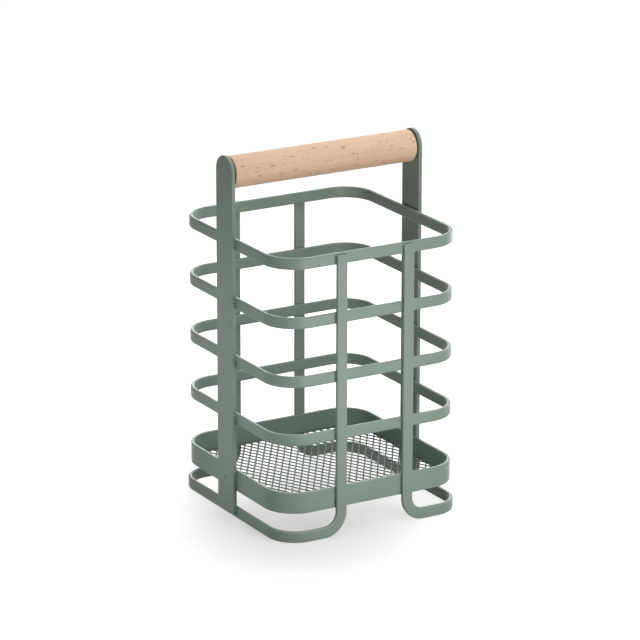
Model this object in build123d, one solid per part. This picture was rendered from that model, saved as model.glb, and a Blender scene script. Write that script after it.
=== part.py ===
from build123d import *
import os

# A welded flat-bar utensil holder with a mesh floor and a wooden carrying grip.
# Millimetres. X runs from upright to upright, Y from front to back, Z up.
# The origin is on the floor, at the middle of the footprint. The front is at -Y.

# Rings: closed loops of flat bar standing on edge, sizes over the outside
ring_width = 129.5
ring_depth = 130.0
ring_corner_radius = 21.0
ring_bar_height = 7.2
ring_bar_thickness = 2.5
ring_names = ["bottom_ring", "lower_middle_ring", "upper_middle_ring", "top_ring"]

# Base band: a taller loop of the same outline that holds the mesh floor
band_top = 31.3
band_height = 13.5
band_thickness = 2.0

# Uprights: flat bars with round tops, welded to the outside of the rings
holder_height = 230.0
upright_width = 20.0
upright_thickness = 2.5
upright_floor_clearance = 3.0
dimple_diameter = 2.2
dimple_depth = 0.6

# Side wires: one bent flat bar each, from the front vertical round the foot to the back vertical
wire_bar_width = 7.2
wire_bar_thickness = 2.5
wire_spacing = 46.8
wire_top_drop = 1.0
wire_bend_radius = 8.2
foot_corner_radius = 19.0

# Rounded edges of the bars, as shares of the bar's thickness
bar_edge_share = 0.36
band_edge_share = 0.3
upright_edge_share = 0.2
wire_end_share = 0.3

# Wooden grip and the two studs that carry it
grip_diameter = 20.0
grip_drop = 0.8
finger_gap = 29.8
grip_end_gap = 0.9
grip_end_radius = 1.2
stud_diameter = 5.0
stud_length = 16.0
stud_chamfer = 0.6
stud_running_clearance = 0.05
bore_end_clearance = 1.0

# Expanded-metal floor: staggered diamonds, measured from knuckle to knuckle
mesh_long_way = 13.6
mesh_short_way = 7.4
mesh_strand_width = 1.2
mesh_thickness = 1.0
mesh_rise = 0.8
mesh_edge_clearance = 0.2

# Weld beads: the leg on each face, and the length as a share of the bar's width
weld_leg = 1.3
weld_length_share = 0.74

# Tack welds of the mesh: placed along each straight wall at shares of its half length
tack_leg = 1.4
tack_length = 5.0
tack_place_shares = [-0.8, 0, 0.8]

# Places that follow from the sizes above
ring_side = ring_width / 2
ring_front = ring_depth / 2
band_bottom = band_top - band_height
grip_axis_height = holder_height - upright_width / 2 - grip_drop
top_ring_top = grip_axis_height - grip_diameter / 2 - finger_gap
ring_pitch = (top_ring_top - band_top) / len(ring_names)
ring_tops = {name: band_top + (index + 1) * ring_pitch for index, name in enumerate(ring_names)}
wire_axis_side = wire_spacing / 2
wire_axis_front = ring_front + wire_bar_thickness / 2
foot_axis_side = ring_side - wire_bar_thickness / 2
foot_axis_height = wire_bar_width / 2
mesh_underside = band_bottom + mesh_rise
mesh_top = mesh_underside + mesh_thickness

# Heights at which bars cross the uprights and the verticals: middle of the bar, and the bar's width
ring_crossings = [(top - ring_bar_height / 2, ring_bar_height) for top in ring_tops.values()]
band_crossing = (band_top - band_height / 2, ring_bar_height)
foot_crossing = (foot_axis_height, wire_bar_width)


def bar_loop(height, thickness, edge_share):
    """A closed loop of flat bar on the rings' outline, standing on the ground plane."""
    outside = RectangleRounded(ring_width, ring_depth, ring_corner_radius)
    inside = RectangleRounded(
        ring_width - 2 * thickness, ring_depth - 2 * thickness, ring_corner_radius - thickness)
    loop = extrude(outside - inside, height)
    rims = loop.edges().group_by(Axis.Z)
    return fillet(rims[0] + rims[-1], edge_share * thickness)


def ring(top):
    """One of the plain rings, with its upper edge at the given height."""
    return Pos(Z=top - ring_bar_height) * bar_loop(ring_bar_height, ring_bar_thickness, bar_edge_share)


def base_band():
    """The taller loop round the mesh floor."""
    return Pos(Z=band_bottom) * bar_loop(band_height, band_thickness, band_edge_share)


def upright(side):
    """A flat bar with a round top and a small dimple in its outer face. Side is -1 left, 1 right."""
    round_centre = holder_height - upright_width / 2
    shank_length = round_centre - upright_floor_clearance
    shank = Pos(Y=upright_floor_clearance + shank_length / 2) * Rectangle(upright_width, shank_length)
    outline = shank + Pos(Y=round_centre) * Circle(upright_width / 2)
    face_plane = Plane(origin=(side * ring_side, 0, 0), x_dir=(0, side, 0), z_dir=(side, 0, 0))
    bar = extrude(face_plane * outline, upright_thickness)
    rims = bar.edges().group_by(Axis.X)
    bar = fillet(rims[0] + rims[-1], upright_edge_share * upright_thickness)
    outer_face = side * (ring_side + upright_thickness)
    dimple = Cone(dimple_diameter / 2, 0, dimple_depth, align=(Align.CENTER, Align.CENTER, Align.MIN))
    dimple_plane = Plane(origin=(outer_face, 0, band_crossing[0]), z_dir=(-side, 0, 0))
    return bar - dimple_plane * dimple


def side_wire(side):
    """One bent bar: down the front, round the foot and up the back. Side is -1 left, 1 right."""
    vertical = side * wire_axis_side
    foot = side * foot_axis_side
    top = top_ring_top - wire_top_drop
    points = [
        (vertical, -wire_axis_front, top),
        (vertical, -wire_axis_front, foot_axis_height),
        (foot, -wire_axis_front, foot_axis_height),
        (foot, wire_axis_front, foot_axis_height),
        (vertical, wire_axis_front, foot_axis_height),
        (vertical, wire_axis_front, top),
    ]
    bend = wire_bend_radius + wire_bar_width / 2
    corner = foot_corner_radius - wire_bar_thickness / 2
    path = FilletPolyline(*points, radius=[bend, corner, corner, bend])
    section = RectangleRounded(wire_bar_width, wire_bar_thickness, bar_edge_share * wire_bar_thickness)
    start = Plane(origin=points[0], x_dir=(1, 0, 0), z_dir=(0, 0, -1))
    wire = sweep(start * section, path)
    ends = wire.faces().filter_by(Axis.Z).group_by(Axis.Z)[-1]
    return fillet(ends.edges(), wire_end_share * wire_bar_thickness)


def wooden_grip():
    """The dowel between the uprights, with a blind bore in each end for its stud."""
    length = ring_width - 2 * grip_end_gap
    across = Plane(origin=(0, 0, grip_axis_height), x_dir=(0, 1, 0), z_dir=(1, 0, 0))
    dowel = Cylinder(grip_diameter / 2, length)
    dowel = fillet(dowel.edges().filter_by(GeomType.CIRCLE), grip_end_radius)
    bore_depth = stud_length - grip_end_gap + bore_end_clearance
    bore = Cylinder(stud_diameter / 2 + stud_running_clearance, bore_depth)
    bore_middle = (length - bore_depth) / 2
    return across * (dowel - Pos(Z=bore_middle) * bore - Pos(Z=-bore_middle) * bore)


def grip_stud(side):
    """A round stud on an upright's inner face, pointing into the dowel. Side is -1 left, 1 right."""
    stud = Cylinder(stud_diameter / 2, stud_length, align=(Align.CENTER, Align.CENTER, Align.MIN))
    tip = stud.edges().group_by(Axis.Z)[-1]
    stud = chamfer(tip, stud_chamfer)
    return Plane(origin=(side * ring_side, 0, grip_axis_height), z_dir=(-side, 0, 0)) * stud


def diamond_places(width, depth):
    """Centres of the staggered diamonds that reach into a sheet of the given size."""
    columns = int(width / mesh_short_way) + 2
    rows = int(depth / mesh_long_way) + 2
    for column in range(-columns, columns + 1):
        for row in range(-rows, rows + 1):
            if (column + row) % 2 == 0:
                yield column * mesh_short_way / 2, row * mesh_long_way / 2


def mesh_floor():
    """The expanded-metal sheet, trimmed to the inside of the band with its edge diamonds cut open."""
    inset = band_thickness + mesh_edge_clearance
    width = ring_width - 2 * inset
    depth = ring_depth - 2 * inset
    sheet = RectangleRounded(width, depth, ring_corner_radius - inset)
    half_short = mesh_short_way / 2
    half_long = mesh_long_way / 2
    strand_distance = half_short * half_long / (half_short ** 2 + half_long ** 2) ** 0.5
    open_share = 1 - mesh_strand_width / 2 / strand_distance
    corners = [(half_short, 0), (0, half_long), (-half_short, 0), (0, -half_long)]
    diamond = make_face(Polyline([(x * open_share, y * open_share) for x, y in corners], close=True))
    gaps = [Pos(x, y) * diamond for x, y in diamond_places(width, depth)]
    net = (sheet - gaps).faces().sort_by(SortBy.AREA)[-1]
    return Pos(Z=mesh_underside) * extrude(net, mesh_thickness)


def weld_bead(seat, away, beside, leg, length):
    """A bead in the corner of two faces: a quarter of an egg, its flat sides on the faces."""
    arc = EllipticalCenterArc((0, 0), leg, length / 2, start_angle=-90, arc_size=180)
    half = Plane.XZ * make_face([arc, Line(arc @ 1, arc @ 0)])
    bead = revolve(half, Axis.Z, 90)
    seam = Vector(away).cross(Vector(beside))
    return Plane(origin=seat, x_dir=away, z_dir=seam) * bead


def upright_welds(side):
    """Beads along both edges of an upright, where each ring, the band and the foot cross it."""
    beads = []
    for height, width in ring_crossings + [band_crossing, foot_crossing]:
        for edge in (-1, 1):
            seat = (side * ring_side, edge * upright_width / 2, height)
            length = weld_length_share * width
            beads.append(weld_bead(seat, (side, 0, 0), (0, edge, 0), weld_leg, length))
    return Compound(children=beads)


def wire_welds(side):
    """Beads along both edges of a side wire's two verticals, where each ring and the band cross them."""
    beads = []
    for height, width in ring_crossings + [band_crossing]:
        for face in (-1, 1):
            for edge in (-1, 1):
                across = side * wire_axis_side + edge * wire_bar_width / 2
                seat = (across, face * ring_front, height)
                length = weld_length_share * width
                beads.append(weld_bead(seat, (edge, 0, 0), (0, face, 0), weld_leg, length))
    return Compound(children=beads)


def mesh_tacks():
    """Short tack welds along the band's inner faces that hold the mesh down."""
    beads = []
    wall_side = ring_side - band_thickness
    wall_front = ring_front - band_thickness
    for share in tack_place_shares:
        for face in (-1, 1):
            front_seat = (share * (ring_side - ring_corner_radius), face * wall_front, mesh_top)
            side_seat = (face * wall_side, share * (ring_front - ring_corner_radius), mesh_top)
            beads.append(weld_bead(front_seat, (0, -face, 0), (0, 0, 1), tack_leg, tack_length))
            beads.append(weld_bead(side_seat, (-face, 0, 0), (0, 0, 1), tack_leg, tack_length))
    return Compound(children=beads)


def all_pieces():
    """Every piece of the holder under its node's name."""
    pieces = {name: ring(top) for name, top in ring_tops.items()}
    pieces["base_band"] = base_band()
    pieces["mesh_floor"] = mesh_floor()
    pieces["mesh_tacks"] = mesh_tacks()
    pieces["wooden_grip"] = wooden_grip()
    for word, side in (("left", -1), ("right", 1)):
        pieces[word + "_upright"] = upright(side)
        pieces[word + "_side_wire"] = side_wire(side)
        pieces[word + "_grip_stud"] = grip_stud(side)
        pieces[word + "_upright_welds"] = upright_welds(side)
        pieces[word + "_wire_welds"] = wire_welds(side)
    return pieces


os.makedirs("parts", exist_ok=True)
for name, piece in all_pieces().items():
    export_step(piece, "parts/" + name + ".step")
    print(name, "%.1f" % piece.volume)
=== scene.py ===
# %% [markdown]
# # A utensil holder of welded flat bar
#
# This notebook dresses a kitchen utensil holder: four rings and a base band of flat steel bar, two tall
# uprights, two bent side wires that are also its feet, an expanded-metal floor and a beech grip. The
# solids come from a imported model, which gives every place and size. Here each bar is modelled once more
# with rounded edges and a real finish, in metres, in the same frame: X runs from upright to upright, Y
# from front to back, Z up, and the floor is at zero.

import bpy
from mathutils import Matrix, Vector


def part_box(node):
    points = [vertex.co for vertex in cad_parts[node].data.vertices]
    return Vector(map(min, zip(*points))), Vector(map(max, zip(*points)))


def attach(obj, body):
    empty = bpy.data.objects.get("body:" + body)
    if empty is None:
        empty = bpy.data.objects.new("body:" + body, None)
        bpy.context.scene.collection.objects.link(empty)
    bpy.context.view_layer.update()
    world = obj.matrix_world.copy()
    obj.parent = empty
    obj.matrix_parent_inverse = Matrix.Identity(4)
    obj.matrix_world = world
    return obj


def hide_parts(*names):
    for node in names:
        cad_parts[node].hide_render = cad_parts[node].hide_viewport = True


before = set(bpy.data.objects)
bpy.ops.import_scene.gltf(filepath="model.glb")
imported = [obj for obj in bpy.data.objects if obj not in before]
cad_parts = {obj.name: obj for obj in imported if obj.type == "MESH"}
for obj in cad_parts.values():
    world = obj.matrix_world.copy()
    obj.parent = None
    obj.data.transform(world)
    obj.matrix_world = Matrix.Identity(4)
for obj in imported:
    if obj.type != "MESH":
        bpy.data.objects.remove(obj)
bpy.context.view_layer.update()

# %% Tools and units
from math import cos, pi, radians, sin

import bmesh
import bpy
from mathutils import Matrix, Vector

MM = 0.001
QUARTER = pi / 2
SIDES = {"left": -1, "right": 1}
X_AXIS = Vector((1, 0, 0))
Y_AXIS = Vector((0, 1, 0))
Z_AXIS = Vector((0, 0, 1))

# %% [markdown]
# ## Nodes without the clicking
#
# A material is a small graph of nodes. In the editor they are placed and wired by hand. In a script one
# helper is enough: it makes a node, sets its options, and fills each input with a number, a colour or
# another node's output. The colour version of the Mix node shares its socket names with other versions,
# so its sockets are picked by number.

# %% A helper for nodes
MIX_FACTOR, MIX_A, MIX_B, MIX_RESULT = 0, 6, 7, 2


def add_node(tree, kind, inputs=None, **options):
    """Make a node, set its options, and link or fill its inputs."""
    node = tree.nodes.new(kind)
    for option, value in options.items():
        setattr(node, option, value)
    for socket, value in (inputs or {}).items():
        if isinstance(value, bpy.types.NodeSocket):
            tree.links.new(value, node.inputs[socket])
        else:
            node.inputs[socket].default_value = value
    return node


def mix_colours(tree, factor, first, second):
    """The colour between two colours, as an output socket."""
    inputs = {MIX_FACTOR: factor, MIX_A: first, MIX_B: second}
    return add_node(tree, "ShaderNodeMix", inputs, data_type="RGBA").outputs[MIX_RESULT]


def spread(tree, value, low, high, to_low, to_high):
    """A value stretched from one range to another, as an output socket."""
    inputs = {"Value": value, "From Min": low, "From Max": high, "To Min": to_low, "To Max": to_high}
    return add_node(tree, "ShaderNodeMapRange", inputs).outputs[0]


def combine(tree, operation, first, second):
    """Two values put together by a sum or a comparison, as an output socket."""
    return add_node(tree, "ShaderNodeMath", {0: first, 1: second}, operation=operation).outputs[0]


def new_material(name):
    """An empty node material, with its tree and its output node."""
    material = bpy.data.materials.new(name)
    material.use_nodes = True
    material.node_tree.nodes.clear()
    output = add_node(material.node_tree, "ShaderNodeOutputMaterial")
    return material, material.node_tree, output


print("Node helpers ready")

# %% [markdown]
# ## Powder coat
#
# The steel is powder coated: plastic dust is sprayed on and melted in an oven. The skin that results
# has a fine orange-peel ripple about a millimetre across, a satin gloss that wanders a little, and
# faint cloudy differences in tone. A flat colour would look like plastic foil, so the ripple, the gloss
# and the clouds come from noise at three sizes. Two finishes use them, the bars and the mesh, so they
# are a node group with named inputs: each material places the group and gives its own values. The
# mesh's colours are darker than the bars': painted shade, for the shaded sides of its tipped strands.

# %% The powder grain group
CLOUDS_PER_METRE = 45.0
SPECKS_PER_METRE = 2600.0
RIPPLE_FADE = 0.45
cloud_range = (0.35, 0.65)
speck_range = (0.62, 0.74)
gloss_range = (0.3, 0.7)
coat_roughness = (0.28, 0.36)


def powder_grain_group():
    """Colour, roughness and ripple height of a powder coat."""
    group = bpy.data.node_groups.new("powder grain", "ShaderNodeTree")
    for name, kind in (("Coat", "Color"), ("Cloud", "Color"), ("Speck", "Color"), ("Ripples", "Float")):
        group.interface.new_socket(name, in_out="INPUT", socket_type="NodeSocket" + kind)
    for name, kind in (("Color", "Color"), ("Roughness", "Float"), ("Height", "Float")):
        group.interface.new_socket(name, in_out="OUTPUT", socket_type="NodeSocket" + kind)
    given = add_node(group, "NodeGroupInput").outputs
    place = add_node(group, "ShaderNodeTexCoord").outputs["Object"]
    cloud = {"Vector": place, "Scale": CLOUDS_PER_METRE, "Detail": 2.0}
    speck = {"Vector": place, "Scale": SPECKS_PER_METRE, "Detail": 1.0}
    ripple = {"Vector": place, "Scale": given["Ripples"], "Detail": 2.0, "Roughness": RIPPLE_FADE}
    clouds, specks, ripples = (
        add_node(group, "ShaderNodeTexNoise", noise).outputs[0] for noise in (cloud, speck, ripple))
    cloudy = spread(group, clouds, *cloud_range, 0.0, 1.0)
    speckled = spread(group, specks, *speck_range, 0.0, 1.0)
    tone = mix_colours(group, cloudy, given["Coat"], given["Cloud"])
    tone = mix_colours(group, speckled, tone, given["Speck"])
    gloss = spread(group, clouds, *gloss_range, *coat_roughness)
    add_node(group, "NodeGroupOutput", {"Color": tone, "Roughness": gloss, "Height": ripples})
    return group


powder_grain = powder_grain_group()
print("Group:", powder_grain.name, "with", len(powder_grain.nodes), "nodes")

# %% The coat on the bars and on the mesh
coat_shine = 0.17
ripple_strength = 0.5
sage = (0.234, 0.290, 0.247)
sage_cloud = (0.221, 0.275, 0.234)
sage_speck = (0.28, 0.34, 0.30)
# The mesh colours are the bar colours darkened: painted shade, standing in for the shade on its tipped
# strands.
mesh_sage_with_painted_shade = (0.180, 0.224, 0.190)
mesh_sage_cloud_with_painted_shade = (0.164, 0.205, 0.174)
mesh_sage_speck_with_painted_shade = (0.22, 0.27, 0.235)
bar_ripples = 900.0
bar_ripple_depth = 0.04 * MM
mesh_ripples = 1800.0
mesh_ripple_depth = 0.02 * MM


def powder_coat(name, coat, cloud, speck, ripples, ripple_depth):
    """A satin powder coat on steel."""
    material, tree, output = new_material(name)
    colours = {"Coat": (*coat, 1), "Cloud": (*cloud, 1), "Speck": (*speck, 1), "Ripples": ripples}
    grain = add_node(tree, "ShaderNodeGroup", node_tree=powder_grain)
    for socket, value in colours.items():
        grain.inputs[socket].default_value = value
    bump = {"Height": grain.outputs["Height"], "Strength": ripple_strength, "Distance": ripple_depth}
    normal = add_node(tree, "ShaderNodeBump", bump).outputs["Normal"]
    surface = {
        "Base Color": grain.outputs["Color"],
        "Roughness": grain.outputs["Roughness"],
        "Normal": normal,
        "Specular IOR Level": coat_shine,
    }
    shader = add_node(tree, "ShaderNodeBsdfPrincipled", surface)
    tree.links.new(shader.outputs[0], output.inputs["Surface"])
    return material


bar_coat = powder_coat(
    "sage powder coat", sage, sage_cloud, sage_speck, bar_ripples, bar_ripple_depth)
mesh_coat_with_painted_shade = powder_coat(
    "sage coat on mesh with painted shade", mesh_sage_with_painted_shade, mesh_sage_cloud_with_painted_shade, mesh_sage_speck_with_painted_shade, mesh_ripples, mesh_ripple_depth)
print("Coats:", bar_coat.name, "and", mesh_coat_with_painted_shade.name)

# %% [markdown]
# ## Beech
#
# The grip is a beech dowel, sanded and left pale. Beech shows two things: soft streaks along the grain,
# and short brown flecks, which are the cut ends of its rays. The rays are thin upright sheets inside
# the wood, a few millimetres long, so they are modelled in three dimensions: a Voronoi pattern squeezed
# thin in height and stretched along the dowel. Where the round surface cuts the sheets end on,
# lens-shaped dashes appear, and where it runs along them the flecks widen, as on a real dowel.

# %% Patterns stretched along the grain
def stretched(tree, scale):
    """Object coordinates scaled apart along the three axes."""
    place = add_node(tree, "ShaderNodeTexCoord").outputs["Object"]
    return add_node(tree, "ShaderNodeMapping", {"Vector": place, "Scale": scale}).outputs[0]


def stretched_noise(tree, scale, detail=1.0):
    """Noise with the given number of waves to the metre along each axis."""
    noise = {"Vector": stretched(tree, scale), "Detail": detail}
    return add_node(tree, "ShaderNodeTexNoise", noise).outputs[0]


print("Stretched noise ready")

# %% Flecks of the beech
cluster_scale = (45, 110, 110)
cluster_range = (0.42, 0.62)


def fleck_mask(tree, cell, reach, share):
    """A mask of separate lens-shaped flecks, in cells of the given size. They come in clusters."""
    scale = [1 / side for side in cell]
    cells = add_node(tree, "ShaderNodeTexVoronoi", {"Vector": stretched(tree, scale), "Scale": 1.0})
    lens = spread(tree, cells.outputs["Distance"], reach, reach / 2, 0.0, 1.0)
    limit = spread(tree, stretched_noise(tree, cluster_scale), *cluster_range, 0.0, 2 * share)
    lottery = add_node(tree, "ShaderNodeSeparateColor", {"Color": cells.outputs["Color"]}).outputs[0]
    chosen = combine(tree, "LESS_THAN", lottery, limit)
    return combine(tree, "MULTIPLY", lens, chosen)


print("Flecks come in clusters of", cluster_scale, "to the metre")

# %% The beech material
pale_tone = (0.81, 0.565, 0.40, 1)
warm_tone = (0.765, 0.512, 0.35, 1)
streak_brown = (0.69, 0.44, 0.29, 1)
hair_brown = (0.50, 0.29, 0.17, 1)
fleck_brown = (0.38, 0.21, 0.125, 1)
band_scale = (4, 60, 60)
streak_scale = (9, 260, 260)
hair_scale = (40, 1300, 1300)
pore_scale = (220, 2400, 2400)
long_fleck = Vector((8.5, 2.4, 1.15)) * MM
short_fleck = Vector((4.0, 2.2, 1.6)) * MM
fleck_depth = 0.75
fibre_strength = 0.35
fibre_depth = 0.03 * MM
beech_roughness = (0.52, 0.62)
beech_shine = 0.25


def beech_wood():
    """Pale sanded beech with its grain along X."""
    material, tree, output = new_material("pale beech")
    streaks = stretched_noise(tree, streak_scale, 3.0)
    bands = stretched_noise(tree, band_scale)
    hairs = stretched_noise(tree, hair_scale)
    pores = stretched_noise(tree, pore_scale)
    pale = mix_colours(tree, spread(tree, bands, 0.3, 0.7, 0.0, 1.0), pale_tone, warm_tone)
    grain = mix_colours(tree, spread(tree, streaks, 0.5, 0.75, 0.0, 0.5), pale, streak_brown)
    grain = mix_colours(tree, spread(tree, hairs, 0.62, 0.72, 0.0, 0.45), grain, hair_brown)
    long_flecks = fleck_mask(tree, long_fleck, reach=0.42, share=0.30)
    short_flecks = fleck_mask(tree, short_fleck, reach=0.34, share=0.05)
    flecks = combine(tree, "MAXIMUM", long_flecks, short_flecks)
    flecked = mix_colours(tree, spread(tree, flecks, 0.0, 1.0, 0.0, fleck_depth), grain, fleck_brown)
    fibre = combine(tree, "SUBTRACT", pores, flecks)
    bump = {"Height": fibre, "Strength": fibre_strength, "Distance": fibre_depth}
    normal = add_node(tree, "ShaderNodeBump", bump).outputs["Normal"]
    sheen = spread(tree, streaks, 0.3, 0.7, *beech_roughness)
    surface = {
        "Base Color": flecked,
        "Roughness": sheen,
        "Normal": normal,
        "Specular IOR Level": beech_shine,
    }
    shader = add_node(tree, "ShaderNodeBsdfPrincipled", surface)
    tree.links.new(shader.outputs[0], output.inputs["Surface"])
    return material


beech = beech_wood()
print("Wood:", beech.name, "with", len(beech.node_tree.nodes), "nodes")

# %% [markdown]
# ## Bare steel
#
# The two studs that carry the grip are hidden in its bores, except for about a millimetre at each end.
# They are turned steel, so fine rings run round their axis: noise that is squeezed along X and left
# long round it.

# %% The turned steel of the studs
turning_scale = (6000, 60, 60)
dark_steel = (0.56, 0.56, 0.57, 1)
light_steel = (0.68, 0.68, 0.68, 1)
steel_roughness = (0.28, 0.42)


def turned_steel():
    """Bare steel with fine turning rings."""
    material, tree, output = new_material("turned steel")
    rings = stretched_noise(tree, turning_scale)
    tone = mix_colours(tree, rings, dark_steel, light_steel)
    gloss = spread(tree, rings, 0.3, 0.7, *steel_roughness)
    surface = {"Base Color": tone, "Roughness": gloss, "Metallic": 1.0}
    shader = add_node(tree, "ShaderNodeBsdfPrincipled", surface)
    tree.links.new(shader.outputs[0], output.inputs["Surface"])
    return material


stud_steel = turned_steel()
for word in SIDES:
    for material_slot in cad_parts[word + "_grip_stud"].material_slots:
        material_slot.material = stud_steel
print("Studs carry", stud_steel.name)

# %% [markdown]
# ## From bmesh to a finished piece
#
# Every piece ends the same way. Doubled points are merged, the faces are turned outwards, the mesh
# becomes an object at the origin, and it is shaded smooth. A Weighted Normal modifier then lets the
# large flat faces decide how the light bends over the small rounded edges, so bars look flat with soft
# rims. Last, the piece is tied to the body that carries it, and the solids that it stands for are hidden.

# %% A helper that finishes a piece
MERGE = 0.001 * MM
SHARP = radians(45)


def finish_piece(name, bm, material, slot, body, *nodes):
    """Make the object, give it its finish, tie it to its body, and hide the solids it stands for."""
    bmesh.ops.remove_doubles(bm, verts=bm.verts, dist=MERGE)
    bmesh.ops.recalc_face_normals(bm, faces=bm.faces)
    mesh = bpy.data.meshes.new(name)
    bm.to_mesh(mesh)
    bm.free()
    mesh.shade_smooth()
    mesh.set_sharp_from_angle(angle=SHARP)
    mesh.materials.append(material)
    piece = bpy.data.objects.new(name, mesh)
    bpy.context.scene.collection.objects.link(piece)
    piece.modifiers.new("flat faces lead", "WEIGHTED_NORMAL").keep_sharp = True
    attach(piece, body)
    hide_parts(*nodes)
    print(name, "has", len(mesh.polygons), "faces")
    return piece


def sharp_edges(bm):
    """The edges where two faces meet at a clear angle."""
    return [edge for edge in bm.edges if edge.is_manifold and edge.calc_face_angle() > SHARP]


def round_edges(bm, edges, radius, segments=3):
    """Round some edges over with a circular bevel."""
    bmesh.ops.bevel(
        bm, geom=edges, offset=radius, segments=segments, profile=0.5, affect="EDGES", material=-1)


def everything(bm):
    """All points, edges and faces of a piece."""
    return list(bm.verts) + list(bm.edges) + list(bm.faces)


def only_verts(geom):
    """The points among the results of an operator."""
    return [item for item in geom if isinstance(item, bmesh.types.BMVert)]


def only_edges(geom):
    """The edges among the results of an operator."""
    return [item for item in geom if isinstance(item, bmesh.types.BMEdge)]


print("Piece helpers ready")

# %% [markdown]
# ## Rings and base band
#
# The rings are strips of flat bar bent round a form and welded shut. A swept profile would do, but a
# bar on edge is also a low wall: draw the outline as a rectangle, round its four corners by bevelling
# the vertices, pull the outline up, give the wall its thickness, and round the rims. This keeps the
# corners true arcs and takes five operators. The base band is the same loop, taller and thinner, and it
# holds the mesh.

# %% A loop of flat bar
CORNER_STEPS = 14
SQUARE = ((-1, -1), (1, -1), (1, 1), (-1, 1))
ring_corner = 21 * MM
ring_wall = 2.5 * MM
ring_edge = 0.9 * MM
band_wall = 2.0 * MM
band_edge = 0.6 * MM


def rounded_outline(bm, half_width, half_depth, corner, level):
    """A flat outline with round corners. Only its edges are kept."""
    corners = [bm.verts.new((x * half_width, y * half_depth, level)) for x, y in SQUARE]
    bm.faces.new(corners)
    bmesh.ops.bevel(
        bm, geom=corners, offset=corner, segments=CORNER_STEPS, profile=0.5, affect="VERTICES",
        material=-1)
    bmesh.ops.delete(bm, geom=list(bm.faces), context="FACES_ONLY")
    return list(bm.edges)


def bar_loop(node, wall, edge_radius):
    """The bar of one ring or of the band, where its solid is."""
    low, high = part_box(node)
    bm = bmesh.new()
    outline = rounded_outline(bm, high.x, high.y, ring_corner, low.z)
    pulled = bmesh.ops.extrude_edge_only(bm, edges=outline)["geom"]
    bmesh.ops.translate(bm, verts=only_verts(pulled), vec=(0, 0, high.z - low.z))
    bmesh.ops.recalc_face_normals(bm, faces=bm.faces)
    bmesh.ops.solidify(bm, geom=list(bm.faces), thickness=wall)
    round_edges(bm, sharp_edges(bm), edge_radius)
    return bm


ring_nodes = ("bottom_ring", "lower_middle_ring", "upper_middle_ring", "top_ring")
for node in ring_nodes:
    bar = bar_loop(node, ring_wall, ring_edge)
    finish_piece("coated_" + node, bar, bar_coat, "powder_coat", "cage", node)
band = bar_loop("base_band", band_wall, band_edge)
finish_piece("coated_base_band", band, bar_coat, "powder_coat", "cage", "base_band")

# %% [markdown]
# ## Uprights
#
# Each upright is a flat bar with a half-round top. The shape is a rectangle whose two top corners are
# rounded by half its width, so that the two arcs meet. The face is then extruded to the bar's thickness
# and its rims are rounded. Low on the outer face is a small punched dimple: a patch is marked out with
# four cuts, a round hole edge is drawn inside it, and the middle is pushed in.

# %% The two uprights
TOP_STEPS = 20
upright_edge = 0.5 * MM
dimple_radius = 1.1 * MM
dimple_floor = 0.8 * MM
dimple_depth = 0.6 * MM
dimple_height = 24.55 * MM
dimple_patch = 1.7 * MM


def nearest_face(bm, place):
    """The face whose middle is nearest to a place."""
    return min(bm.faces, key=lambda face: (face.calc_center_median() - place).length)


def punch_dimple(bm, centre, outwards):
    """Push a small round mark into the flat face at the given centre."""
    for axis in (Y_AXIS, Z_AXIS):
        for offset in (-dimple_patch, dimple_patch):
            bmesh.ops.bisect_plane(
                bm, geom=everything(bm), dist=MERGE, plane_co=centre + axis * offset, plane_no=axis)
    patch = nearest_face(bm, centre)
    bmesh.ops.inset_region(
        bm, faces=[patch], thickness=dimple_patch - dimple_radius, use_even_offset=True)
    bmesh.ops.subdivide_edges(bm, edges=list(patch.edges), cuts=3)
    patch = nearest_face(bm, centre)
    for vert in patch.verts:
        vert.co = centre + (vert.co - centre).normalized() * dimple_radius
    bmesh.ops.inset_region(
        bm, faces=[patch], thickness=dimple_radius - dimple_floor, use_even_offset=True)
    bmesh.ops.translate(bm, verts=list(patch.verts), vec=-outwards * dimple_depth)


def upright(node, side):
    """A flat bar with a half-round top, against the outside of the rings."""
    low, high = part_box(node)
    inner, outer = (high.x, low.x) if side < 0 else (low.x, high.x)
    bm = bmesh.new()
    places = ((low.y, low.z), (high.y, low.z), (high.y, high.z), (low.y, high.z))
    corners = [bm.verts.new((inner, y, z)) for y, z in places]
    bm.faces.new(corners)
    half_width = (high.y - low.y) / 2
    bmesh.ops.bevel(
        bm, geom=corners[2:], offset=half_width, segments=TOP_STEPS, profile=0.5, affect="VERTICES",
        material=-1)
    bmesh.ops.remove_doubles(bm, verts=bm.verts, dist=MERGE)
    pushed = bmesh.ops.extrude_face_region(bm, geom=list(bm.faces))["geom"]
    bmesh.ops.translate(bm, verts=only_verts(pushed), vec=(outer - inner, 0, 0))
    bmesh.ops.recalc_face_normals(bm, faces=bm.faces)
    round_edges(bm, sharp_edges(bm), upright_edge)
    punch_dimple(bm, Vector((outer, 0, dimple_height)), X_AXIS * side)
    return bm


for word, side in SIDES.items():
    node = word + "_upright"
    finish_piece("coated_" + node, upright(node, side), bar_coat, "powder_coat", "cage", node)

# %% [markdown]
# ## Side wires
#
# Each side wire is one flat bar: down the front, round a bend to the foot, round the corner along the
# floor, and up the back again. A curve with a bevel object would work, but the bar is bent flat in one
# place and on edge in another, and a curve tends to twist there. Here the bar's section is drawn once
# and pushed along: a straight run extrudes the open end, and a bend spins it about the bend's own
# centre, as a bending machine does.

# %% The two side wires
BEND_STEPS = 12
SECTION_STEPS = 3
wire_width = 7.2 * MM
wire_wall = 2.5 * MM
wire_edge = 0.9 * MM
wire_end_edge = 0.75 * MM
wire_offset = 23.4 * MM
bend_radius = 11.8 * MM
foot_corner = 17.75 * MM


def push(bm, rim, step):
    """Extrude the open end of a bar along a straight run."""
    pulled = bmesh.ops.extrude_edge_only(bm, edges=rim)["geom"]
    moved = only_verts(pulled)
    bmesh.ops.translate(bm, verts=moved, vec=step)
    return [edge for edge in only_edges(pulled) if all(vert in moved for vert in edge.verts)]


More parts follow.
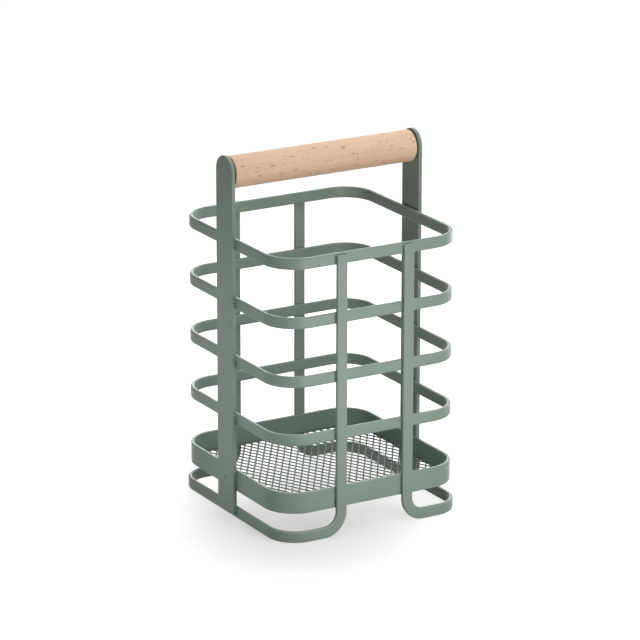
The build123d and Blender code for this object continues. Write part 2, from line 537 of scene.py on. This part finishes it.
def turn(bm, rim, centre, axis, angle):
    """Spin the open end of a bar round a bend."""
    verts = list({vert for edge in rim for vert in edge.verts})
    bent = bmesh.ops.spin(
        bm, geom=verts + rim, cent=centre, axis=axis, dvec=(0, 0, 0), angle=angle, steps=BEND_STEPS,
        use_merge=False)
    return only_edges(bent["geom_last"])


def side_wire(node, side):
    """One bent bar, from the front vertical round the foot to the back vertical."""
    low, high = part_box(node)
    front = low.y + wire_wall / 2
    foot_level = low.z + wire_width / 2
    foot_side = side * (max(abs(low.x), abs(high.x)) - wire_wall / 2)
    vertical = side * wire_offset
    drop = high.z - foot_level - bend_radius
    foot_run = abs(foot_side - vertical) - bend_radius - foot_corner
    side_run = 2 * (-front - foot_corner)
    bm = bmesh.new()
    corners = [
        bm.verts.new((vertical + x * wire_width / 2, front + y * wire_wall / 2, high.z))
        for x, y in SQUARE]
    bm.faces.new(corners)
    bmesh.ops.bevel(
        bm, geom=corners, offset=wire_edge, segments=SECTION_STEPS, profile=0.5, affect="VERTICES",
        material=-1)
    rim = push(bm, list(bm.edges), (0, 0, -drop))
    bend_centre = Vector((vertical + side * bend_radius, front, foot_level + bend_radius))
    corner_centre = Vector((foot_side - side * foot_corner, front + foot_corner, foot_level))
    to_back = Vector((1, -1, 1))
    rim = turn(bm, rim, bend_centre, Y_AXIS, -side * QUARTER)
    rim = push(bm, rim, (side * foot_run, 0, 0))
    rim = turn(bm, rim, corner_centre, Z_AXIS, side * QUARTER)
    rim = push(bm, rim, (0, side_run, 0))
    rim = turn(bm, rim, corner_centre * to_back, Z_AXIS, side * QUARTER)
    rim = push(bm, rim, (-side * foot_run, 0, 0))
    rim = turn(bm, rim, bend_centre * to_back, Y_AXIS, side * QUARTER)
    rim = push(bm, rim, (0, 0, drop))
    bmesh.ops.edgeloop_fill(bm, edges=rim)
    bmesh.ops.remove_doubles(bm, verts=bm.verts, dist=MERGE)
    bmesh.ops.recalc_face_normals(bm, faces=bm.faces)
    round_edges(bm, sharp_edges(bm), wire_end_edge)
    return bm


for word, side in SIDES.items():
    node = word + "_side_wire"
    finish_piece("coated_" + node, side_wire(node, side), bar_coat, "powder_coat", "cage", node)

# %% [markdown]
# ## Mesh floor
#
# Expanded metal is a sheet that is slit and pulled open: each strand is a zigzag that touches its
# neighbours at the knuckles, and pulling also tips the strands. Drawing every diamond would be slow, so
# one zigzag strand is extruded from a tipped section, copied across the floor, and the whole field is
# cut to the inside of the band with one plane for each side and a few round each corner. The cut ends
# are then closed.

# %% The mesh floor
strand_width = 1.1 * MM
strand_thickness = 0.68 * MM
strand_edge = 0.14 * MM
strand_tip = radians(32)
zig = Vector((2.95, 4.6, 0)) * MM
zag = Vector((-2.2, 4.5, 0)) * MM
mesh_clearance = 0.2 * MM
STRANDS_EACH_WAY = 30
ZIGZAGS = 17
TRIM_STEP = 15


def close_cuts(bm):
    """Fill the openings that a cut has left."""
    bmesh.ops.holes_fill(bm, edges=[edge for edge in bm.edges if edge.is_boundary], sides=0)


def zigzag_strand(bm, level):
    """One strand along Y, longer than the floor is deep."""
    start = -(zig + zag) * ZIGZAGS / 2 + Z_AXIS * level
    tip = Matrix.Rotation(strand_tip, 4, "Y")
    section = [Vector((x * strand_width / 2, 0, z * strand_thickness / 2)) for x, z in SQUARE]
    corners = [bm.verts.new(start + tip @ corner) for corner in section]
    bm.faces.new(corners)
    bmesh.ops.bevel(
        bm, geom=corners, offset=strand_edge, segments=1, profile=0.5, affect="VERTICES", material=-1)
    rim = list(bm.edges)
    bmesh.ops.delete(bm, geom=list(bm.faces), context="FACES_ONLY")
    for _ in range(ZIGZAGS):
        rim = push(bm, rim, zig)
        rim = push(bm, rim, zag)
    return everything(bm)


def mesh_floor(node):
    """The field of strands, trimmed to the inside of the band."""
    low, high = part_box(node)
    bm = bmesh.new()
    strand = zigzag_strand(bm, (low.z + high.z) / 2)
    for index in range(-STRANDS_EACH_WAY, STRANDS_EACH_WAY + 1):
        if index == 0:
            continue
        copy = bmesh.ops.duplicate(bm, geom=strand)["geom"]
        pairs, odd = divmod(index, 2)
        bmesh.ops.translate(bm, verts=only_verts(copy), vec=(zig - zag) * pairs + zig * odd)
    corner = ring_corner - band_wall - mesh_clearance
    for degrees in range(0, 360, TRIM_STEP):
        outwards = Vector((cos(radians(degrees)), sin(radians(degrees)), 0))
        centre = Vector((high.x - corner, high.y - corner, 0))
        centre.x *= 1 if outwards.x > 0 else -1
        centre.y *= 1 if outwards.y > 0 else -1
        cut = centre + outwards * corner
        bmesh.ops.bisect_plane(
            bm, geom=everything(bm), dist=MERGE, plane_co=cut, plane_no=outwards, clear_outer=True)
    close_cuts(bm)
    return bm


strand_field = mesh_floor("mesh_floor")
finish_piece("coated_mesh_floor", strand_field, mesh_coat_with_painted_shade, "powder_coat", "cage", "mesh_floor")

# %% [markdown]
# ## Weld beads
#
# Where two bars cross they are welded, and under the coat the welds stay as small nuggets in the
# corners. A nugget is a quarter of an egg: a ball, cut twice, then set into its corner and stretched
# along the seam. One is made as a pattern, and each weld places a copy, a little larger or smaller than
# the last, as a hand welder leaves them.

# %% One bead as a pattern
BEAD_TAIL = 0.15


def bead_pattern():
    """A quarter of a ball of radius 1: X and Y point out of the corner, Z runs along the seam."""
    bm = bmesh.new()
    bmesh.ops.create_icosphere(bm, subdivisions=3, radius=1.0)
    for axis in (X_AXIS, Y_AXIS):
        bmesh.ops.bisect_plane(
            bm, geom=everything(bm), dist=MERGE, plane_co=(0, 0, 0), plane_no=-axis, clear_outer=True)
        close_cuts(bm)
    for vert in bm.verts:
        vert.co.xy *= BEAD_TAIL + (1 - BEAD_TAIL) * ((1 + vert.co.z) / 2) ** 2
    mesh = bpy.data.meshes.new("bead pattern")
    bm.to_mesh(mesh)
    bm.free()
    return mesh


bead_mesh = bead_pattern()
print("Bead pattern:", len(bead_mesh.polygons), "faces")

# %% Beads where the bars cross
BEAD_SHRINK = 0.12
BEAD_WAVES = (1, 2.3, 0.7)
weld_leg = 1.3 * MM
weld_half_length = 2.66 * MM
upright_half_width = 10 * MM
bar_heights = [(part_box(node)[0].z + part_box(node)[1].z) / 2 for node in ring_nodes + ("base_band",)]
foot_height = wire_width / 2
ring_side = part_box("top_ring")[1].x
ring_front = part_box("top_ring")[1].y


def add_bead(bm, seat, away, beside, leg, half_length):
    """Set a copy of the bead into a corner between two faces, a little smaller at some seats."""
    count = len(bm.verts)
    wave = sum(waves * part / MM for waves, part in zip(BEAD_WAVES, seat))
    uneven = 1 - BEAD_SHRINK * (1 + sin(wave)) / 2
    seam = away.cross(beside)
    if seam.z < 0:
        seam = -seam
    columns = (away * leg * uneven, beside * leg, seam * half_length * uneven, seat)
    place = Matrix([[column[row] for column in columns] for row in range(3)] + [[0, 0, 0, 1]])
    bm.from_mesh(bead_mesh)
    bm.verts.ensure_lookup_table()
    bmesh.ops.transform(bm, matrix=place, verts=bm.verts[count:])


def upright_beads(side):
    """Beads along both edges of an upright, at each ring, the band and the foot."""
    bm = bmesh.new()
    for height in bar_heights + [foot_height]:
        for edge in (-1, 1):
            seat = Vector((side * ring_side, edge * upright_half_width, height))
            add_bead(bm, seat, X_AXIS * side, Y_AXIS * edge, weld_leg, weld_half_length)
    return bm


def wire_beads(side):
    """Beads along both edges of a side wire's verticals, at each ring and the band."""
    bm = bmesh.new()
    for height in bar_heights:
        for face in (-1, 1):
            for edge in (-1, 1):
                seat = Vector((side * wire_offset + edge * wire_width / 2, face * ring_front, height))
                add_bead(bm, seat, X_AXIS * edge, Y_AXIS * face, weld_leg, weld_half_length)
    return bm


for word, side in SIDES.items():
    beads = upright_beads(side)
    finish_piece(
        word + "_upright_beads", beads, bar_coat, "powder_coat", "cage", word + "_upright_welds")
    beads = wire_beads(side)
    finish_piece(word + "_wire_beads", beads, bar_coat, "powder_coat", "cage", word + "_wire_welds")

# %% [markdown]
# The mesh is held by a few tack welds on the band's inner wall. They are the same nuggets, laid flat.

# %% Tacks of the mesh
tack_leg = 1.4 * MM
tack_half_length = 2.5 * MM
tack_shares = (-0.8, 0, 0.8)


def mesh_tack_beads():
    """Tack welds along the band's inner walls, on top of the mesh."""
    bm = bmesh.new()
    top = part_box("mesh_floor")[1].z
    for share in tack_shares:
        for face in (-1, 1):
            front = Vector((share * (ring_side - ring_corner), face * (ring_front - band_wall), top))
            beside = Vector((face * (ring_side - band_wall), share * (ring_front - ring_corner), top))
            add_bead(bm, front, Y_AXIS * -face, Z_AXIS, tack_leg, tack_half_length)
            add_bead(bm, beside, X_AXIS * -face, Z_AXIS, tack_leg, tack_half_length)
    return bm


finish_piece("mesh_tack_beads", mesh_tack_beads(), mesh_coat_with_painted_shade, "powder_coat", "cage", "mesh_tacks")

# %% [markdown]
# ## Wooden grip
#
# The grip is a turned dowel with a blind bore in each end, so it is made as on a lathe: half of its
# profile is drawn and spun once round the axis. The two outer rims are then rounded, as sandpaper
# leaves them.

# %% The grip
GRIP_STEPS = 96
GRIP_RIM_STEPS = 5
grip_rim = 1.2 * MM
bore_radius = 2.55 * MM
bore_depth = 16.1 * MM


def wooden_grip(node):
    """The dowel, spun from its profile."""
    low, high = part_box(node)
    axis_height = (low.z + high.z) / 2
    radius = (high.z - low.z) / 2
    profile = [
        (low.x + bore_depth, 0),
        (low.x + bore_depth, bore_radius),
        (low.x, bore_radius),
        (low.x, radius),
        (high.x, radius),
        (high.x, bore_radius),
        (high.x - bore_depth, bore_radius),
        (high.x - bore_depth, 0),
    ]
    bm = bmesh.new()
    points = [bm.verts.new((x, 0, axis_height + height)) for x, height in profile]
    for first, second in zip(points, points[1:]):
        bm.edges.new((first, second))
    bmesh.ops.spin(
        bm, geom=list(bm.verts) + list(bm.edges), cent=(0, 0, axis_height), axis=X_AXIS, dvec=(0, 0, 0),
        angle=2 * pi, steps=GRIP_STEPS, use_merge=True)
    bmesh.ops.remove_doubles(bm, verts=bm.verts, dist=MERGE)
    bmesh.ops.recalc_face_normals(bm, faces=bm.faces)
    middle = Vector((0, 0, axis_height))
    rims = [
        edge for edge in sharp_edges(bm)
        if all((vert.co - middle).yz.length > radius - MERGE for vert in edge.verts)]
    round_edges(bm, rims, grip_rim, GRIP_RIM_STEPS)
    return bm


finish_piece("beech_grip", wooden_grip("wooden_grip"), beech, "beech", "grip", "wooden_grip")

# %% [markdown]
# ## Floor and light
#
# The holder stands in a small light tent: white paper below, and soft boxes close to each side and
# above. Real paper that is lit this well comes out white, and its shadow stays pale. Here the paper has
# two faces, told apart by the kind of ray that meets it. Rays that carry light find a modest grey, so
# the cage isn't flooded from below. Camera rays and reflections find white paper with a glow of its
# own, full further out, so the background is white. In a round pool in front of the holder and to its
# left the glow is weak: a painted shadow, which deepens the shadow that the lamps cast there.

# %% The floor
floor_half_size = 4.0
# Painted shadow: round this middle, front left of the holder, the floor's glow is kept weak.
painted_shadow_middle = Vector((-42, -62, 0)) * MM
painted_shadow_glow = 0.43
glow_near = 0.84
glow_far = 1.0
painted_shadow_rim = (0.02, 0.14)
far_rim = (0.3, 0.8)
paper_tone = (0.46, 0.45, 0.455, 1)
paper_light_tone = (0.48, 0.47, 0.475, 1)
bounce_grey = (0.13, 0.13, 0.13, 1)
mottle_scale = (6, 6, 6)
white = (1, 1, 1, 1)


def ray_mask(tree):
    """One for camera, glossy and transmission rays, and zero for the rays that light things."""
    light = add_node(tree, "ShaderNodeLightPath").outputs
    total = light["Is Camera Ray"]
    for name in ("Is Glossy Ray", "Is Transmission Ray"):
        total = combine(tree, "MAXIMUM", total, light[name])
    return total


def floor_glow_with_painted_shadow(tree):
    """The paper's own glow: weak in a painted shadow pool beside the holder, full further out."""
    place = add_node(tree, "ShaderNodeTexCoord").outputs["Object"]
    ends = {0: place, 1: painted_shadow_middle}
    distance = add_node(tree, "ShaderNodeVectorMath", ends, operation="DISTANCE").outputs["Value"]
    # Painted shadow: across the pool's rim the glow rises from weak to its near strength.
    near = spread(tree, distance, *painted_shadow_rim, painted_shadow_glow, glow_near)
    near.node.interpolation_type = "SMOOTHSTEP"
    far = spread(tree, distance, *far_rim, 0.0, glow_far - glow_near)
    strength = combine(tree, "ADD", near, far)
    return add_node(tree, "ShaderNodeEmission", {"Color": white, "Strength": strength}).outputs[0]


def floor_material():
    """White paper to look at, and a modest grey as a source of light."""
    material, tree, output = new_material("white sweep")
    mottle = stretched_noise(tree, mottle_scale, 2.0)
    paper = mix_colours(tree, mottle, paper_tone, paper_light_tone)
    matt = add_node(tree, "ShaderNodeBsdfDiffuse", {"Color": paper}).outputs[0]
    bounce = add_node(tree, "ShaderNodeBsdfDiffuse", {"Color": bounce_grey}).outputs[0]
    seen = add_node(tree, "ShaderNodeAddShader", {0: matt, 1: floor_glow_with_painted_shadow(tree)}).outputs[0]
    both = add_node(tree, "ShaderNodeMixShader", {0: ray_mask(tree), 1: bounce, 2: seen})
    tree.links.new(both.outputs[0], output.inputs["Surface"])
    return material


floor_bm = bmesh.new()
bmesh.ops.create_grid(floor_bm, x_segments=1, y_segments=1, size=floor_half_size)
floor_mesh = bpy.data.meshes.new("floor")
floor_bm.to_mesh(floor_mesh)
floor_bm.free()
floor_mesh.materials.append(floor_material())
floor = bpy.data.objects.new("floor", floor_mesh)
bpy.context.scene.collection.objects.link(floor)
print("Floor:", 2 * floor_half_size, "m across")

# %% The world
world_light = 0.0


def white_world():
    """White to look at, and dark as a light, because the soft boxes do the lighting."""
    world = bpy.data.worlds.new("studio")
    world.use_nodes = True
    tree = world.node_tree
    tree.nodes.clear()
    output = add_node(tree, "ShaderNodeOutputWorld")
    lit = add_node(tree, "ShaderNodeBackground", {"Color": white, "Strength": world_light}).outputs[0]
    shown = add_node(tree, "ShaderNodeBackground", {"Color": white, "Strength": 1.0}).outputs[0]
    seen = add_node(tree, "ShaderNodeMixShader", {0: ray_mask(tree), 1: lit, 2: shown})
    tree.links.new(seen.outputs[0], output.inputs["Surface"])
    return world


bpy.context.scene.world = white_world()
print("World light:", world_light)

# %% The soft boxes
object_middle = Vector((0, 0, 0.115))


def soft_box(name, place, size, power):
    """A square lamp that faces the holder, in metres and watts. The close left one isn't reflected."""
    lamp = bpy.data.lights.new(name, "AREA")
    lamp.shape = "SQUARE"
    lamp.size = size
    lamp.energy = power
    box = bpy.data.objects.new(name, lamp)
    box.location = place
    box.rotation_euler = (object_middle - Vector(place)).to_track_quat("-Z", "Y").to_euler()
    box.visible_camera = False
    box.visible_glossy = name != "left"
    bpy.context.scene.collection.objects.link(box)
    return box


lamps = [
    soft_box("overhead", (0.10, -0.04, 0.75), 0.25, 0.80),
    soft_box("overhead front", (0.10, -0.22, 0.70), 0.25, 0.90),
    soft_box("key behind", (0.30, 0.30, 0.65), 0.4, 1.5),
    soft_box("front low", (0.02, -0.30, 0.05), 0.2, 0.65),
    soft_box("front high", (0.02, -0.38, 0.34), 0.25, 0.54),
    soft_box("left", (-0.24, -0.02, 0.10), 0.15, 0.200),
    soft_box("right", (0.45, 0.08, 0.18), 0.3, 0.9),
    soft_box("back", (0.22, 0.46, 0.18), 0.3, 1.1),
]
print("Lamps:", [lamp.name for lamp in lamps])

# %% [markdown]
# ## Camera
#
# The photograph was taken from the front left, a little above, from over two metres with a long lens,
# so the bars stay nearly parallel. The camera stands there and looks at the middle of the cage.

# %% The camera
camera_azimuth = radians(30.2)
camera_elevation = radians(17.58)
camera_distance = 2.375
camera_aim = Vector((0.15, 0.15, 115.65)) * MM
camera_roll = 0.0016
camera_lens = 215.8
camera_sensor = 36.0
camera_reach = 50.0

level_share = cos(camera_elevation)
backwards = Vector((
    -sin(camera_azimuth) * level_share,
    -cos(camera_azimuth) * level_share,
    sin(camera_elevation)))
camera_data = bpy.data.cameras.new("camera")
camera_data.lens = camera_lens
camera_data.sensor_width = camera_sensor
camera_data.clip_end = camera_reach
camera = bpy.data.objects.new("camera", camera_data)
camera.location = camera_aim + backwards * camera_distance
turned = (-backwards).to_track_quat("-Z", "Y").to_matrix() @ Matrix.Rotation(camera_roll, 3, "Z")
camera.rotation_euler = turned.to_euler()
bpy.context.scene.collection.objects.link(camera)
bpy.context.scene.camera = camera
bpy.context.scene.view_settings.view_transform = "Standard"
print("Camera at", [round(value, 3) for value in camera.location])
